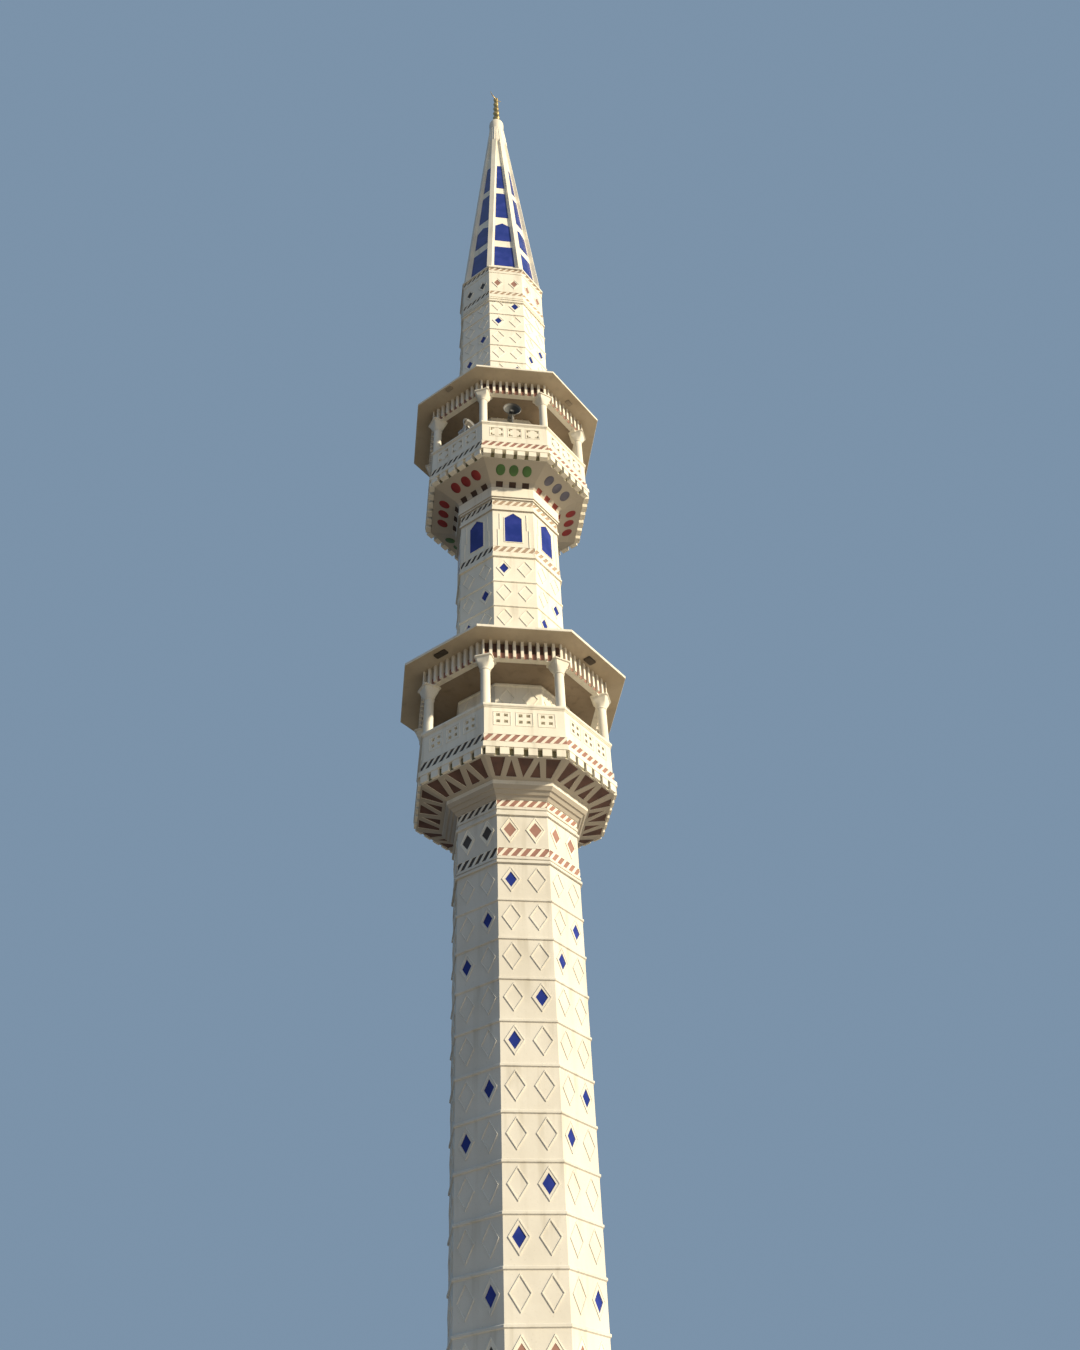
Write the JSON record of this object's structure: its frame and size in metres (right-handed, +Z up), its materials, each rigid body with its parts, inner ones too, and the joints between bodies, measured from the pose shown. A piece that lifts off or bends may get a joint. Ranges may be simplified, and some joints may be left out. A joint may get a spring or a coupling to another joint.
{
  "type": "minaret scale model",
  "caption": "Slender eight-sided precast minaret with two columned balconies, diamond windows and a ribbed glazed spire, modelled at half its real size.",
  "frame": {"origin": "middle of the flat underside of the foot, on the tower's axis", "axes": "+Z up the tower's axis, -Y out of the face that the picture shows nearest, +X to that face's right"},
  "size_m": [2.439, 2.439, 24.4329],
  "materials": {
    "painted_concrete": "cream-white painted precast concrete, weathered",
    "blue_glass": "dark blue glazing",
    "gilt": "dull gold finial",
    "horn_metal": "light grey horn loudspeaker"
  },
  "bodies": {
    "root": {"foot_plinth": "painted_concrete", "base_wall": "painted_concrete", "base_cornice": "painted_concrete", "lower_shaft": "painted_concrete", "lower_glass": "blue_glass", "lower_band": "painted_concrete", "lower_corbel": "painted_concrete", "lower_floor": "painted_concrete", "lower_parapet": "painted_concrete", "lower_column_1": "painted_concrete", "lower_column_2": "painted_concrete", "lower_column_3": "painted_concrete", "lower_column_4": "painted_concrete", "lower_column_5": "painted_concrete", "lower_column_6": "painted_concrete", "lower_column_7": "painted_concrete", "lower_column_8": "painted_concrete", "lower_lintel": "painted_concrete", "lower_canopy": "painted_concrete", "lower_door_shaft": "painted_concrete", "middle_shaft": "painted_concrete", "middle_glass": "blue_glass", "window_tier": "painted_concrete", "upper_corbel": "painted_concrete", "upper_floor": "painted_concrete", "upper_parapet": "painted_concrete", "upper_column_1": "painted_concrete", "upper_column_2": "painted_concrete", "upper_column_3": "painted_concrete", "upper_column_4": "painted_concrete", "upper_column_5": "painted_concrete", "upper_column_6": "painted_concrete", "upper_column_7": "painted_concrete", "upper_column_8": "painted_concrete", "upper_lintel": "painted_concrete", "upper_canopy": "painted_concrete", "top_shaft": "painted_concrete", "top_glass": "blue_glass", "top_band": "painted_concrete", "spire": "painted_concrete", "spire_glass": "blue_glass", "spire_cap": "painted_concrete", "finial": "gilt", "crescent": "gilt", "horn_front": "horn_metal", "horn_left": "horn_metal"}
  },
  "joints": []
}
